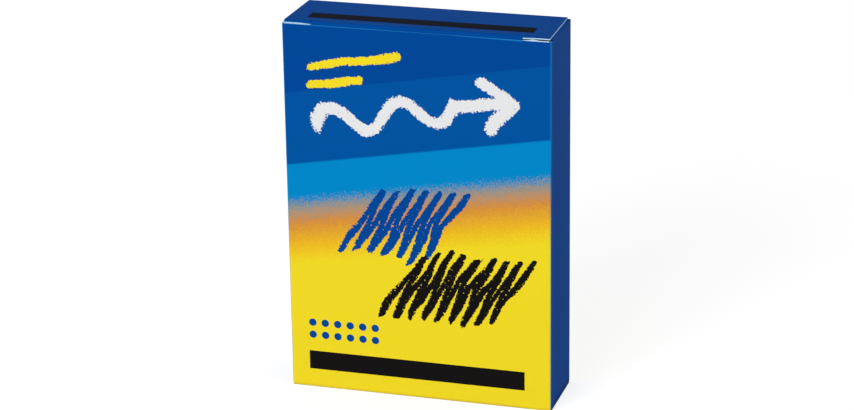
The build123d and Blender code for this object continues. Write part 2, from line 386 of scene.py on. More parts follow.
# %% [markdown]
# ## Colour field
# Front and back have a field of colour that runs from blue through sky blue and orange to yellow along a
# slanting line. It could be painted on an image, but a colour ramp over a tilted height needs no file and
# stays sharp. In the soft part of the field, noise breaks the height up into grains, as a sprayed print has
# them.

# %% Colour field
field_slope = tan(radians(10))
field_grain = 9
grain_start = 74
grain_full = 68
field_stops = [(30, yellow), (47, yellow), (53, golden), (60, orange), (65, dusk), (68, sky_blue),
               (79, sky_blue), (79.15, clear_blue), (101.4, clear_blue), (101.6, deep_blue)]
field_bottom = field_stops[0][0]
field_top = field_stops[-1][0] + 10


def colour_field(tree, place, x, z, slope):
    """The field's colour at a place, for a slope of its bands."""
    tilted = calc(tree, "SUBTRACT", z, calc(tree, "MULTIPLY", x, slope))
    grains = calc(tree, "SUBTRACT", speckle(tree, place, 3.0, 1.0), 0.5)
    soft = ramp_between(tree, tilted, grain_start, grain_full)
    level = calc(tree, "MULTIPLY_ADD", calc(tree, "MULTIPLY", grains, soft), field_grain, tilted)
    ramp = node(tree, "ValToRGB", [node(tree, "MapRange", {0: level, 1: field_bottom, 2: field_top})])
    stops = ramp.node.color_ramp.elements
    while len(stops) < len(field_stops):
        stops.new(1.0)
    for stop, (height, colour) in zip(stops, field_stops):
        stop.position = (height - field_bottom) / (field_top - field_bottom)
        stop.color = colour
    return ramp


print("colour field of", len(field_stops), "stops")

# %% [markdown]
# ## Strokes
# The marks on the front are drawn with wax. Each mark is drawn by distance: where a point is nearer to the
# stroke's middle line than half its width, it is covered. So a stroke needs only a formula for the distance
# to a straight line, to a wave and to a zigzag.

# %% Strokes
def length_of(tree, u, v):
    """Length of the line from the origin to (u, v)."""
    return calc(tree, "SQRT", calc(tree, "MULTIPLY_ADD", u, u, calc(tree, "MULTIPLY", v, v)))


def held_between(tree, value, low, high):
    """The value, kept between two limits."""
    return calc(tree, "MINIMUM", calc(tree, "MAXIMUM", value, low), high)


def line_distance(tree, u, v, start, end):
    """Distance from the point (u, v) to a straight stroke between two points."""
    run = end[0] - start[0]
    rise = end[1] - start[1]
    du = calc(tree, "SUBTRACT", u, start[0])
    dv = calc(tree, "SUBTRACT", v, start[1])
    dot = calc(tree, "MULTIPLY_ADD", du, run, calc(tree, "MULTIPLY", dv, rise))
    share = held_between(tree, calc(tree, "DIVIDE", dot, run * run + rise * rise), 0.0, 1.0)
    off_u = calc(tree, "MULTIPLY_ADD", share, -run, du)
    off_v = calc(tree, "MULTIPLY_ADD", share, -rise, dv)
    return length_of(tree, off_u, off_v)


def wave_distance(tree, u, v, start, end, swing, wave):
    """Distance from the point (u, v) to a wavy stroke that runs along u from start to end."""
    held = held_between(tree, u, start, end)
    angle = calc(tree, "MULTIPLY", calc(tree, "SUBTRACT", held, start), 2 * pi / wave)
    slope = calc(tree, "MULTIPLY", calc(tree, "COSINE", angle), swing * 2 * pi / wave)
    steep = calc(tree, "SQRT", calc(tree, "MULTIPLY_ADD", slope, slope, 1.0))
    above = calc(tree, "MULTIPLY_ADD", calc(tree, "SINE", angle), -swing, v)
    return length_of(tree, calc(tree, "DIVIDE", above, steep), calc(tree, "SUBTRACT", u, held))


def zigzag_distance(tree, u, v, step, passes, reach):
    """Distance to a scribble of so many passes, one step apart from u = 0, that reaches up and down."""
    held = held_between(tree, u, 0.0, step * passes)
    off = line_distance(tree, calc(tree, "PINGPONG", held, step), v, (0, -reach), (step, reach))
    return length_of(tree, off, calc(tree, "SUBTRACT", u, held))


# %% [markdown]
# ## Marks
# The marks are a waving arrow, two short strokes and two scribbles. Below them stand twelve dots for the
# twelve markers. Noise stands for the tooth of the paper, which wax covers fully in the middle of a stroke
# and only in part at its rim.

# %% Marks
paper_tooth = 0.74
rim_thinning = 0.30
wax_softness = 0.03
arrow_middle = (0, 91)
arrow_tilt = radians(10)
arrow_start = -31
arrow_bend_end = 12
arrow_swing = 3.8
arrow_wave = 21.5
arrow_tip = (30, 0)
arrow_barbs = ((22, 7), (22, -7))
scribble_lean = radians(62)
scribble_step = 2.1
scribble_reach = 11.5
dot_first = (-34, 17.5)
dot_step = 4.0
dot_counts = (6, 2)
dot_radius = 1.2
dot_rim = 0.05


def wax_cover(tree, place, off, width):
    """How much of the paper a wax stroke covers, from the distance to the stroke's middle line."""
    tooth = speckle(tree, place, 1.9, 4.0)
    thinned = calc(tree, "POWER", calc(tree, "DIVIDE", off, width / 2), 3.0)
    limit = calc(tree, "MULTIPLY_ADD", thinned, -rim_thinning, paper_tooth)
    return ramp_between(tree, calc(tree, "SUBTRACT", limit, tooth), -wax_softness, wax_softness)


def arrow_distance(tree, x, z):
    """Distance to a wave that ends in a straight shaft with two barbs, all turned by the arrow's tilt."""
    dx = calc(tree, "SUBTRACT", x, arrow_middle[0])
    dz = calc(tree, "SUBTRACT", z, arrow_middle[1])
    along = calc(tree, "MULTIPLY_ADD", dx, cos(arrow_tilt), calc(tree, "MULTIPLY", dz, sin(arrow_tilt)))
    across = calc(tree, "MULTIPLY_ADD", dz, cos(arrow_tilt), calc(tree, "MULTIPLY", dx, -sin(arrow_tilt)))
    nearest = wave_distance(tree, along, across, arrow_start, arrow_bend_end, arrow_swing, arrow_wave)
    for start in ((arrow_bend_end, 0), *arrow_barbs):
        nearest = calc(tree, "MINIMUM", nearest, line_distance(tree, along, across, start, arrow_tip))
    return nearest


def scribble_distance(tree, place, x, z, corner, passes):
    """Distance to a slanting hatch, drawn in one go from its left end. A slow noise makes it uneven."""
    uneven = calc(tree, "MULTIPLY_ADD", speckle(tree, place, 0.16, 1.0), 0.6, 0.7)
    dx = calc(tree, "SUBTRACT", x, corner[0])
    dz = calc(tree, "SUBTRACT", z, corner[1])
    u = calc(tree, "MULTIPLY_ADD", dz, -1 / tan(scribble_lean), dx)
    v = calc(tree, "DIVIDE", calc(tree, "MULTIPLY", dz, uneven), sin(scribble_lean))
    return zigzag_distance(tree, u, v, scribble_step, passes, scribble_reach)


def dot_cover(tree, x, z):
    """Rows and columns of round dots, each found as the nearest whole step from the first one."""
    offsets = []
    for value, start, count in zip((x, z), dot_first, dot_counts):
        steps = calc(tree, "ROUND", calc(tree, "DIVIDE", calc(tree, "SUBTRACT", value, start), dot_step))
        nearest = held_between(tree, steps, 0.0, count - 1.0)
        offsets.append(calc(tree, "SUBTRACT", value, calc(tree, "MULTIPLY_ADD", nearest, dot_step, start)))
    beyond = ramp_between(tree, length_of(tree, *offsets), dot_radius - dot_rim, dot_radius + dot_rim)
    return calc(tree, "SUBTRACT", 1.0, beyond)


# %% [markdown]
# ## Pictures of front, back and bottom
# The front puts the marks on its colour field, one after the other, as a hand would. A slow wobble moves
# the coordinates, so that the strokes look drawn by hand. The back has the field with its slope turned
# round, and both have a plain black stripe low down. At the upright creases the picture ends and the blue
# of the sides begins.

# %% Pictures
hand_wobble = 4.0
arrow_width = 3.8
stroke_width = 2.8
scribble_width = 2.3
long_stroke = ((-32, 103), (-5, 107.8))
short_stroke = ((-32, 97), (-17, 99.6))
scribbles = (((-18, 56), 13, deep_blue), ((-6, 37), 17, black))
stripe_rows = (6.1, 12.1)
stripe_left = -35.3
stripe_right = 32.9
side_wrap = 0.22


def sides_blue(tree, place, x, y, z, colour):
    """Blue from the middle of each upright crease on, over the picture of the front or the back."""
    beyond = calc(tree, "GREATER_THAN", calc(tree, "ABSOLUTE", x), half_width / mm - side_wrap)
    return blend_colours(tree, beyond, colour, solid_blue(tree, place, x, y, z))


def front_picture(tree, place, x, y, z):
    """The field with its arrow, strokes, scribbles, dots and stripe."""
    colour = colour_field(tree, place, x, z, field_slope)
    wobble = calc(tree, "SUBTRACT", speckle(tree, place, 0.06, 1.0), 0.5)
    hand_x = calc(tree, "MULTIPLY_ADD", wobble, hand_wobble, x)
    hand_z = calc(tree, "MULTIPLY_ADD", wobble, -hand_wobble, z)

    arrow = arrow_distance(tree, hand_x, hand_z)
    colour = blend_colours(tree, wax_cover(tree, place, arrow, arrow_width), colour, white)
    strokes = [line_distance(tree, hand_x, hand_z, *stroke) for stroke in (long_stroke, short_stroke)]
    nearest = calc(tree, "MINIMUM", *strokes)
    colour = blend_colours(tree, wax_cover(tree, place, nearest, stroke_width), colour, yellow)
    for corner, passes, ink in scribbles:
        scribble = scribble_distance(tree, place, hand_x, hand_z, corner, passes)
        colour = blend_colours(tree, wax_cover(tree, place, scribble, scribble_width), colour, ink)

    colour = blend_colours(tree, dot_cover(tree, x, z), colour, deep_blue)
    stripe = bar(tree, z, x, stripe_rows, (stripe_left, stripe_right))
    colour = blend_colours(tree, stripe, colour, black)
    return sides_blue(tree, place, x, y, z, colour)


def back_picture(tree, place, x, y, z):
    """The field as seen from behind, with its stripe."""
    colour = colour_field(tree, place, x, z, -field_slope)
    stripe = bar(tree, z, x, stripe_rows, (-stripe_right, -stripe_left))
    colour = blend_colours(tree, stripe, colour, black)
    return sides_blue(tree, place, x, y, z, colour)


def bottom_picture(tree, place, x, y, z):
    """Plain yellow of a slowly changing tone."""
    return blend_colours(tree, speckle(tree, place, 0.05, 2.0), yellow, shaded_yellow)


front_board = varnished("front_board", front_picture)
back_board = varnished("back_board", back_picture)
bottom_board = varnished("bottom_board", bottom_picture)
print("front picture:", len(front_board.node_tree.nodes), "nodes")

# %% [markdown]
# ## Bare board
# Inside, the board is uncoated: warm white, with fibres and a few darker specks. A cut edge shows the core
# of the board, which is whiter and quite matt, with a touch of blue from the ink beside it.

# %% Bare board
warm_white = (0.72, 0.69, 0.62, 1)
warm_grey = (0.58, 0.55, 0.48, 1)
core_white = (0.60, 0.83, 1.0, 1)
core_shade = (0.52, 0.74, 0.92, 1)
speck_brown = (0.30, 0.25, 0.18, 1)


def bare(name, light, dark, speck_share, roughness):
    """Uncoated board: fibres in two tones, with a share of brown specks."""
    finish, tree = new_finish(name)
    place = place_in_mm(tree)[0]
    fibres = speckle(tree, place, 3.5, 6.0)
    specks = ramp_between(tree, speckle(tree, place, 1.1, 2.0), 0.70, 0.76)
    colour = blend_colours(tree, fibres, light, dark)
    colour = blend_colours(tree, calc(tree, "MULTIPLY", specks, speck_share), colour, speck_brown)
    coat(tree, colour, roughness, shine=0.2, height=fibres, strength=0.35, depth=0.05 * mm)
    return finish


inside_board = bare("inside_board", warm_white, warm_grey, speck_share=0.35, roughness=0.85)
cut_edge = bare("cut_edge", core_white, core_shade, speck_share=0.05, roughness=0.9)
print("bare board:", inside_board.name, cut_edge.name)

# %% [markdown]
# ## Picking and moving
# Shaping by hand means to pick a few vertices, edges or faces and then to move, cut or bevel them. In a
# script they are picked by a rule on their place, so that it doesn't matter how they are numbered.

# %% Picking and moving
near = 0.01 * mm
edge_zone = 0.1 * mm
merge_gap = 0.001 * mm


def pick(piece, kind, rule):
    """In edit mode, select only the verts, edges or faces that pass a rule on their place or normal."""
    bpy.ops.object.mode_set(mode="EDIT")
    bpy.ops.mesh.select_mode(type={"verts": "VERT", "edges": "EDGE", "faces": "FACE"}[kind])
    bpy.ops.mesh.select_all(action="DESELECT")
    shape = bmesh.from_edit_mesh(piece.data)
    shape.normal_update()
    for element in getattr(shape, kind):
        element.select_set(rule(element))
    shape.select_flush_mode()
    bmesh.update_edit_mesh(piece.data)


def lies_at(axis, value):
    """A rule: the whole edge or face lies in the plane where that axis has that value."""
    return lambda element: all(abs(corner.co[axis] - value) < near for corner in element.verts)


def at_level(level):
    """A rule: the vertex lies at that height."""
    return lambda v: abs(v.co.z - level) < near


def lift(piece, rule, rise):
    """Move the vertices that pass a rule up by a rise, or down where it is negative."""
    pick(piece, "verts", rule)
    bpy.ops.transform.translate(value=(0, 0, rise))


def cut(piece, at, normal, away=False, fill=False):
    """Cut along a plane, and take the part beyond it away or close the cut if asked."""
    bpy.ops.object.mode_set(mode="EDIT")
    bpy.ops.mesh.select_all(action="SELECT")
    bpy.ops.mesh.bisect(plane_co=at, plane_no=normal, use_fill=fill, clear_outer=away, threshold=merge_gap)


# %% [markdown]
# ## Folding board
# A wall of the carton is one sheet of board that turns round at its creases. Modelling only its outside
# face keeps this simple: a plane is added at its size and place, its edge is spun round the crease line and
# run on as a short leg, and a Solidify modifier then gives the board its thickness. Solidify also hands out
# the three materials: print outside, bare board inside, and the core of the board on the rim.

# %% Folding helpers
right_low, right_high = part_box("right_panel")
front_low, front_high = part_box("front_panel")
board = right_high.x - right_low.x
crease_radius = 0.7 * mm
crease_leg = front_high.y - front_low.y - crease_radius
crease_steps = 8
ink, inside, core = range(3)
print("board", round(board / mm, 3), "mm, crease leg", round(crease_leg / mm, 3), "mm")


def settle(name, scale=(1, 1, 1)):
    """Name the primitive that was just added, and fix its size, turn and place in its mesh."""
    piece = bpy.context.object
    piece.name = piece.data.name = name
    piece.scale = scale
    bpy.ops.object.transform_apply(location=True, rotation=True, scale=True)
    return piece


def sheet(name, facing, low, high):
    """The outside face of a flat panel between two corners: a plane primitive at its size and place."""
    turn = Vector(facing).to_track_quat("Z", "Y")
    size = turn.inverted() @ (high - low)
    bpy.ops.object.select_all(action="DESELECT")
    bpy.ops.mesh.primitive_plane_add(size=1, location=(low + high) / 2, rotation=turn.to_euler())
    return settle(name, scale=(abs(size.x), abs(size.y), 1))


def bend(piece, rule, crease, axis, degrees, leg):
    """Carry an edge round a crease line, then on for a leg. With no window, spin turns clockwise."""
    pick(piece, "edges", rule)
    bpy.ops.mesh.spin(steps=crease_steps, angle=-radians(degrees), center=crease, axis=axis)
    bpy.ops.mesh.extrude_edges_move(TRANSFORM_OT_translate={"value": leg})


def thicken(piece, facing, finish):
    """Turn the faces outwards and give the sheet the board's thickness, with its three materials."""
    bpy.ops.object.mode_set(mode="EDIT")
    bpy.ops.mesh.select_all(action="SELECT")
    bpy.ops.mesh.remove_doubles(threshold=merge_gap)
    bpy.ops.mesh.normals_make_consistent(inside=False)
    bpy.ops.object.mode_set(mode="OBJECT")
    largest = max(piece.data.polygons, key=lambda face: face.area)
    if largest.normal.dot(Vector(facing)) < 0:
        bpy.ops.object.mode_set(mode="EDIT")
        bpy.ops.mesh.flip_normals()
        bpy.ops.object.mode_set(mode="OBJECT")
    for material in (finish, inside_board, cut_edge):
        piece.data.materials.append(material)
    bpy.ops.object.modifier_add(type="SOLIDIFY")
    solid = piece.modifiers[-1]
    solid.thickness = board
    solid.offset = -1
    solid.use_even_offset = True
    solid.material_offset = inside
    solid.material_offset_rim = core
    bpy.ops.object.modifier_apply(modifier=solid.name)


# %% [markdown]
# ## Edges and bodies
# Board that a die has cut has slightly rounded lips, and ink is pressed over some of them, so the three
# materials of a piece are changed face by face where the photograph shows it. A finished piece is put on
# the body that it moves with, so that it opens and shuts with the model.

# %% Edge helpers
lip_rounding = 0.05 * mm


def smooth_rounds(piece):
    """Smooth what is round and keep what is flat flat, by normals that follow the largest faces."""
    bpy.ops.object.mode_set(mode="OBJECT")
    bpy.ops.object.shade_smooth_by_angle(angle=radians(40))
    bpy.ops.object.modifier_add(type="WEIGHTED_NORMAL")
    piece.modifiers[-1].keep_sharp = True
    bpy.ops.object.modifier_apply(modifier=piece.modifiers[-1].name)


def finish_edges(piece, shows, rounding=lip_rounding):
    """Round the lips of the cut edges that show, then smooth what is round. Butted edges stay square."""
    def lip(edge):
        kinds = {face.material_index for face in edge.link_faces}
        return core in kinds and len(kinds) > 1 and shows((edge.verts[0].co + edge.verts[1].co) / 2)
    pick(piece, "edges", lip)
    bpy.ops.mesh.bevel(offset=rounding, segments=3, affect="EDGES", material=core, clamp_overlap=True)
    smooth_rounds(piece)


def paint(piece, material, rule):
    """Give the faces that pass a rule another of the piece's three materials."""
    for face in piece.data.polygons:
        if rule(face):
            face.material_index = material


def put_on(piece, body, node_name):
    """The piece moves with a body and stands for a node of the model, which is hidden."""
    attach(piece, body)
    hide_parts(node_name)
    print(piece.name, "for", node_name, "on", body, "with", len(piece.data.polygons), "faces")


# %% [markdown]
# ## Front wall
# The front panel carries both front creases. Its top is a cut edge in front of the tuck flap. In the
# photograph that edge runs a little lower at the right, where a dark gap opens under the lid, so the right
# end of the top is moved down. At the bottom the round corners reach further down than the flat, where the
# bottom flap folds off.

# %% Front wall
flat = half_width - crease_radius
corner_bottom = 0.1 * mm
corner_top = lid_low.z - 0.57 * mm
right_corner_rise = 0.21 * mm
top_at_end = {-1: lid_low.z - 0.19 * mm, 1: lid_low.z - 0.30 * mm}
round_end_y = -half_depth + crease_radius - edge_zone


def lower_corners(piece, level, bottom):
    """Let the round corners of a wall run down past the flat between them."""
    lift(piece, lambda v: at_level(level)(v) and abs(v.co.x) > flat + edge_zone, bottom - level)


front = sheet("front_wall", (0, -1, 0), Vector((-flat, -half_depth, front_low.z)),
              Vector((flat, -half_depth, corner_top)))
for side in (-1, 1):
    crease = (side * flat, -half_depth + crease_radius, 0)
    bend(front, lies_at(0, side * flat), crease, (0, 0, 1), side * 90, (0, crease_leg, 0))
lower_corners(front, front_low.z, corner_bottom)
for side, top in top_at_end.items():
    lift(front, lambda v: at_level(corner_top)(v) and v.co.x * side > 0 and v.co.y < round_end_y,
         top - corner_top)
lift(front, lambda v: at_level(corner_top)(v) and v.co.x > 0, right_corner_rise)
print("front falls", round((top_at_end[-1] - top_at_end[1]) / mm, 2), "mm to the right")

# %% [markdown]
# ## Worn top of the front wall
# Between the slits the fold of the lid rubs on the front's top edge: its inner lip is worn down and ink
# covers it. Beside the right slit the outer lip is pressed down, and the inner lip stands up a little in
# one place. Cuts across the top give the vertices for this, and each of these marks is a small move up or
# down.

# %% Worn top of the front wall
slit_step = 0.2 * mm
beside_slit = fold_half + 1.5 * slit_step
gap_depth = 0.11 * mm
rim_slope = 0.11 * mm
pressed_lip = 0.14 * mm
crown_x = fold_half + 3.4 * mm
crown_half = 1.8 * mm
lip_crown = 0.30 * mm
rim_low = corner_top - 2 * edge_zone


def on_inner_lip(v):
    """A rule: the vertex lies on the inner lip of the front's top edge."""
    return v.co.z > corner_top and v.co.y > -half_depth + board / 2


def on_outer_lip(v):
    """A rule: the vertex lies on the outer lip of the front's top edge."""
    return v.co.z > corner_top and v.co.y < -half_depth + edge_zone


for side in (-1, 1):
    for place in (fold_half, fold_half + slit_step, crown_x - crown_half, crown_x, crown_x + crown_half):
        cut(front, (side * place, 0, 0), (1, 0, 0))
lift(front, lambda v: v.co.z > corner_top and abs(v.co.x - fold_half) < 1.5 * slit_step, -gap_depth)
thicken(front, (0, -1, 0), front_board)
lift(front, lambda v: on_inner_lip(v) and abs(v.co.x) < beside_slit, -rim_slope)
lift(front, lambda v: on_outer_lip(v) and v.co.x > beside_slit, -pressed_lip)
lift(front, lambda v: on_inner_lip(v) and abs(v.co.x - crown_x) < near, lip_crown)
finish_edges(front, lambda p: p.z > rim_low and abs(p.x) > fold_half + slit_step / 2)
paint(front, ink, lambda face: face.center.z > rim_low and face.normal.z > 0.5
      and not fold_half <= abs(face.center.x) <= flat)
put_on(front, "carton", "front_panel")

# %% [markdown]
# ## Side walls
# A side wall is plain between its creases. At its top the dust flap folds off, round a hinge line just
# inside the board, so the top of the wall is hollowed to that round and closes the crease from outside. At
# the bottom its two ends run down beside the flap that folds off there.

# %% Side walls
top_cuts = 4
round_clearance = 0.03 * mm
hollow = board / 2 + round_clearance
seen_strip = 1 * mm
for side, hand in ((1, "right"), (-1, "left")):
    low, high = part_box(hand + "_panel")
    flap_low, flap_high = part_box("bottom_" + hand + "_dust_flap")
    face_x = side * half_width
    wall = sheet(hand + "_wall", (side, 0, 0), Vector((face_x, low.y, low.z)),
                 Vector((face_x, high.y, high.z)))
    for end in (flap_low.y, flap_high.y):
        cut(wall, (0, end, 0), (0, 1, 0))
    pick(wall, "edges", lambda edge: lies_at(2, low.z)(edge)
         and all(abs(v.co.y) > flap_high.y - near for v in edge.verts))
    bpy.ops.mesh.extrude_edges_move(TRANSFORM_OT_translate={"value": (0, 0, corner_bottom - low.z)})
    thicken(wall, (side, 0, 0), blue_board)
    pick(wall, "edges", lambda edge: lies_at(2, high.z)(edge)
         and abs(edge.verts[0].co.x - edge.verts[1].co.x) > edge_zone)
    bpy.ops.mesh.subdivide(number_cuts=top_cuts)
    round_axis = hinge[hand + "_dust_crease"]
    for row in range(top_cuts + 2):
        row_x = face_x - side * board * row / (top_cuts + 1)
        out = max(0, abs(row_x) - abs(round_axis.x))
        row_z = round_axis.z - (hollow ** 2 - out ** 2) ** 0.5
        lift(wall, lambda v: at_level(high.z)(v) and abs(v.co.x - row_x) < 2 * near, row_z - high.z)
    smooth_rounds(wall)
    paint(wall, ink, lambda face: face.material_index == core and face.center.z > high.z - seen_strip)
    put_on(wall, "carton", hand + "_panel")

# %% [markdown]
# ## Back wall
# The back panel turns round the right back crease and ends at the left in a cut edge. Its top is no cut
# edge, because there the board goes on into the lid, so it looks like the bare inside. Only at the right
# corner, where it shows beside the lid, ink covers it.

# %% Back wall
low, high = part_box("back_panel")
corner_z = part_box("bottom_inner_flap")[0].z + corner_bottom
back = sheet("back_wall", (0, 1, 0), Vector((low.x, half_depth, low.z)), Vector((flat, half_depth, high.z)))
bend(back, lies_at(0, flat), (flat, half_depth - crease_radius, 0), (0, 0, 1), -90, (0, -crease_leg, 0))
lower_corners(back, low.z, corner_z)
strip_low = high.z - seen_strip
strip_x = flat - seen_strip
cut(back, (0, 0, strip_low), (0, 0, 1))
cut(back, (strip_x, 0, 0), (1, 0, 0))
thicken(back, (0, 1, 0), back_board)
finish_edges(back, lambda p: p.x < low.x + edge_zone)
paint(back, inside, lambda face: face.center.x <= strip_x and face.center.z > high.z - 2 * edge_zone)
paint(back, ink, lambda face: face.center.x > strip_x
      and (face.material_index == core or face.center.z > strip_low))
put_on(back, "carton", "back_panel")

# %% [markdown]
# ## Glue flap
# The glue flap folds off the left side and lies inside the back panel, with a film of glue between the two.
# Its ends are cut at a slant, so that they stay clear of the flaps above and below.

# %% Glue flap
flap_slant = 3 * mm
low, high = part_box("glue_flap")
flap = sheet("seam_flap", (0, 1, 0), Vector((-flat, high.y, low.z)), Vector((high.x, high.y, high.z)))
bend(flap, lies_at(0, -flat), (-flat, high.y - crease_radius, 0), (0, 0, 1), 90, (0, -crease_leg, 0))
end_cut = flap_slant / (high.x + half_width)
for end, end_z in ((1, high.z), (-1, low.z)):
    cut(flap, (-half_width, 0, end_z), (end_cut, 0, end), away=True)
thicken(flap, (0, 1, 0), blue_board)
finish_edges(flap, lambda p: p.x > high.x - edge_zone)
put_on(flap, "carton", "glue_flap")

# %% [markdown]
# ## Large bottom flaps
# Four flaps close the bottom: one from each side first, then the back one, then the front one outside. The
# two large ones are a sheet that faces down, with a crease along the wall that is wider than the rest of
# the flap.

# %% Large bottom flaps
relief = 1.2 * mm
relief_length = 0.9 * mm
for name, node_name, side, finish in (("bottom_front_flap", "bottom_outer_flap", -1, bottom_board),
                                      ("bottom_back_flap", "bottom_inner_flap", 1, blue_board)):
    low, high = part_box(node_name)
    crease_y = side * (half_depth - crease_radius)
    free_y = high.y if side < 0 else low.y
    flap = sheet(name, (0, 0, -1), Vector((relief - flat, min(crease_y, free_y), low.z)),
                 Vector((flat - relief, max(crease_y, free_y), low.z)))
    relief_y = crease_y - side * relief_length
    cut(flap, (0, relief_y, 0), (0, 1, 0))
    for end in (-1, 1):
        pick(flap, "edges", lambda edge: lies_at(0, end * (flat - relief))(edge)
             and all((v.co.y - relief_y) * side > -near for v in edge.verts))
        bpy.ops.mesh.extrude_edges_move(TRANSFORM_OT_translate={"value": (end * relief, 0, 0)})
    crease = (0, crease_y, low.z + crease_radius)
    bend(flap, lies_at(1, crease_y), crease, (1, 0, 0), 90 * side, (0, 0, crease_leg))
    thicken(flap, (0, 0, -1), finish)
    finish_edges(flap, lambda p: abs(p.y - free_y) < board)
    put_on(flap, "carton", node_name)

# %% [markdown]
# ## Small bottom flaps
# The small flaps come from the sides. They have their crease low at the wall, beside the edges of the large
# ones, and rise over them, so their sheet is cut near the crease and only the crease is moved down.

# %% Small bottom flaps
rise_start = flat - relief + 0.1 * mm
crease_z = corner_bottom + crease_radius
for side, hand in ((-1, "left"), (1, "right")):
    node_name = "bottom_" + hand + "_dust_flap"
    low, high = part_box(node_name)
    free_x = high.x if side < 0 else low.x
    crease_x = side * flat
    flap = sheet("bottom_" + hand + "_flap", (0, 0, -1), Vector((min(crease_x, free_x), low.y, low.z)),
                 Vector((max(crease_x, free_x), high.y, low.z)))
    cut(flap, (side * rise_start, 0, 0), (1, 0, 0))
    lift(flap, lambda v: abs(v.co.x - crease_x) < near, corner_bottom - low.z)
    crease = (crease_x, 0, crease_z)
    bend(flap, lies_at(0, crease_x), crease, (0, 1, 0), -90 * side, (0, 0, high.z - crease_z))
    thicken(flap, (0, 0, -1), blue_board)
    finish_edges(flap, lambda p: abs(p.x - free_x) < board)
    put_on(flap, "carton", node_name)

# %% [markdown]
# ## Moving flaps
# The lid, its tuck flap and the two dust flaps move, so each is a closed block of board. The block is a
# cube at its size and place. Where its end lies on a hinge line, two long edges are bevelled by half the
# board, which makes that end round, and bisect trims the outline. The three board materials go on by the
# way that each face looks.

# %% Helpers for the moving flaps
half_board = 0.4999 * board
up = Vector((0, 0, 1))


def block(name, low, high):
    """A block of board between two corners: a cube primitive at its size and place."""
    bpy.ops.object.select_all(action="DESELECT")
    bpy.ops.mesh.primitive_cube_add(size=1, location=(low + high) / 2)
    return settle(name, scale=high - low)


def round_end(piece, on_end):
    """Bevel the two long edges of an end into a half round, which then turns on the hinge line."""
    pick(piece, "edges", on_end)
    bpy.ops.mesh.bevel(offset=half_board, segments=6, affect="EDGES")
    bpy.ops.mesh.select_all(action="SELECT")
    bpy.ops.mesh.remove_doubles(threshold=merge_gap)


def board_materials(piece, finish, outside, on_round, print_ends):
    """Print outside and round the crease to where print_ends says, bare inside, core on cut edges."""
    bpy.ops.object.mode_set(mode="OBJECT")
    for material in (finish, inside_board, cut_edge):
        piece.data.materials.append(material)
    for face in piece.data.polygons:
        turned_out = face.normal.dot(outside)
        face.material_index = ink if turned_out > 0.7 else inside if turned_out < -0.7 else core
        if on_round(face):
            face.material_index = ink if turned_out > print_ends else inside


def print_inside_slits(piece):
    """Ink on the short faces at the slits' inner ends, which press on each other and don't show white."""
    paint(piece, ink, lambda face: abs(abs(face.center.x) - fold_half) < edge_zone
          and abs(face.normal.x) > 0.7)


# %% [markdown]
# ## Lid
# The lid narrows a little towards its hinge at the back, and its right side lies a little further in.
# Between its two slits the board goes on over a soft fold, so there its front edge is drawn back to where
# the fold begins. The shoulders beside the slits end in a cut edge further out.

# %% Lid outline
lid_axis = hinge["lid_hinge"]
tuck_axis = hinge["tuck_crease"]
lean_degrees = 6.5
tuck_lean = radians(lean_degrees)
fold_radius = 1.3 * mm
fold_reach = (fold_radius - board / 2) * (1 + sin(tuck_lean)) / cos(tuck_lean)
fold_y = tuck_axis.y + fold_reach
fold_leg = 0.4 * mm
slit_end = 0.12 * mm
lid_side = {-1: lid_high.x, 1: lid_high.x - 0.3 * mm}
rear_inset = 0.7 * mm
side_slope = (lid_high.x - half_width + rear_inset) / (lid_high.y - lid_low.y)
slit_reach = fold_y - lid_low.y
corner_reach = 2.1 * mm
hang_end = 0.4
shoulder_cuts = (0, slit_end, 0.15 * slit_length, hang_end * slit_length, 0.7 * slit_length)
shoulder_rows = [share * slit_reach for share in (0.25, 0.5, 0.75, 1)]
shoulder_rows += [share * corner_reach for share in (0.75, 1)]

lid = block("lid_top", lid_low, lid_high)
round_end(lid, lies_at(1, lid_high.y))
for side in (-1, 1):
    cut(lid, (side * lid_side[side], lid_low.y, 0), (side, side_slope, 0), away=True, fill=True)
    for place in shoulder_cuts:
        cut(lid, (side * (fold_half + place), 0, 0), (1, 0, 0))
pick(lid, "verts", lambda v: v.co.y < lid_low.y + near and abs(v.co.x) < fold_half + near)
bpy.ops.transform.translate(value=(0, fold_y + fold_leg - lid_low.y, 0))
for row in shoulder_rows:
    cut(lid, (0, lid_low.y + row, 0), (0, 1, 0))
bpy.ops.object.mode_set(mode="OBJECT")
print("lid with", len(lid.data.vertices), "vertices, slits", round(slit_length / mm, 1), "mm long")

# %% [markdown]
# ## Shoulders of the lid
# In the photograph the shoulders hang a little towards their front edge, the left one more than the right
# one, and most of all beside the slit. The cuts and rows of the last cell give them vertices, and a formula
# lowers each by how near it is to the front and to the slit. The knife has also pressed the right one's
# edge thinner.

# %% Shoulders of the lid
hang_at_slit = {-1: 0.70 * mm, 1: 0.36 * mm}
hang_beyond = {-1: 0.51 * mm, 1: 0.17 * mm}
knife_press = {-1: 0, 1: 0.12 * mm}
lid_lip_rounding = 0.1 * mm

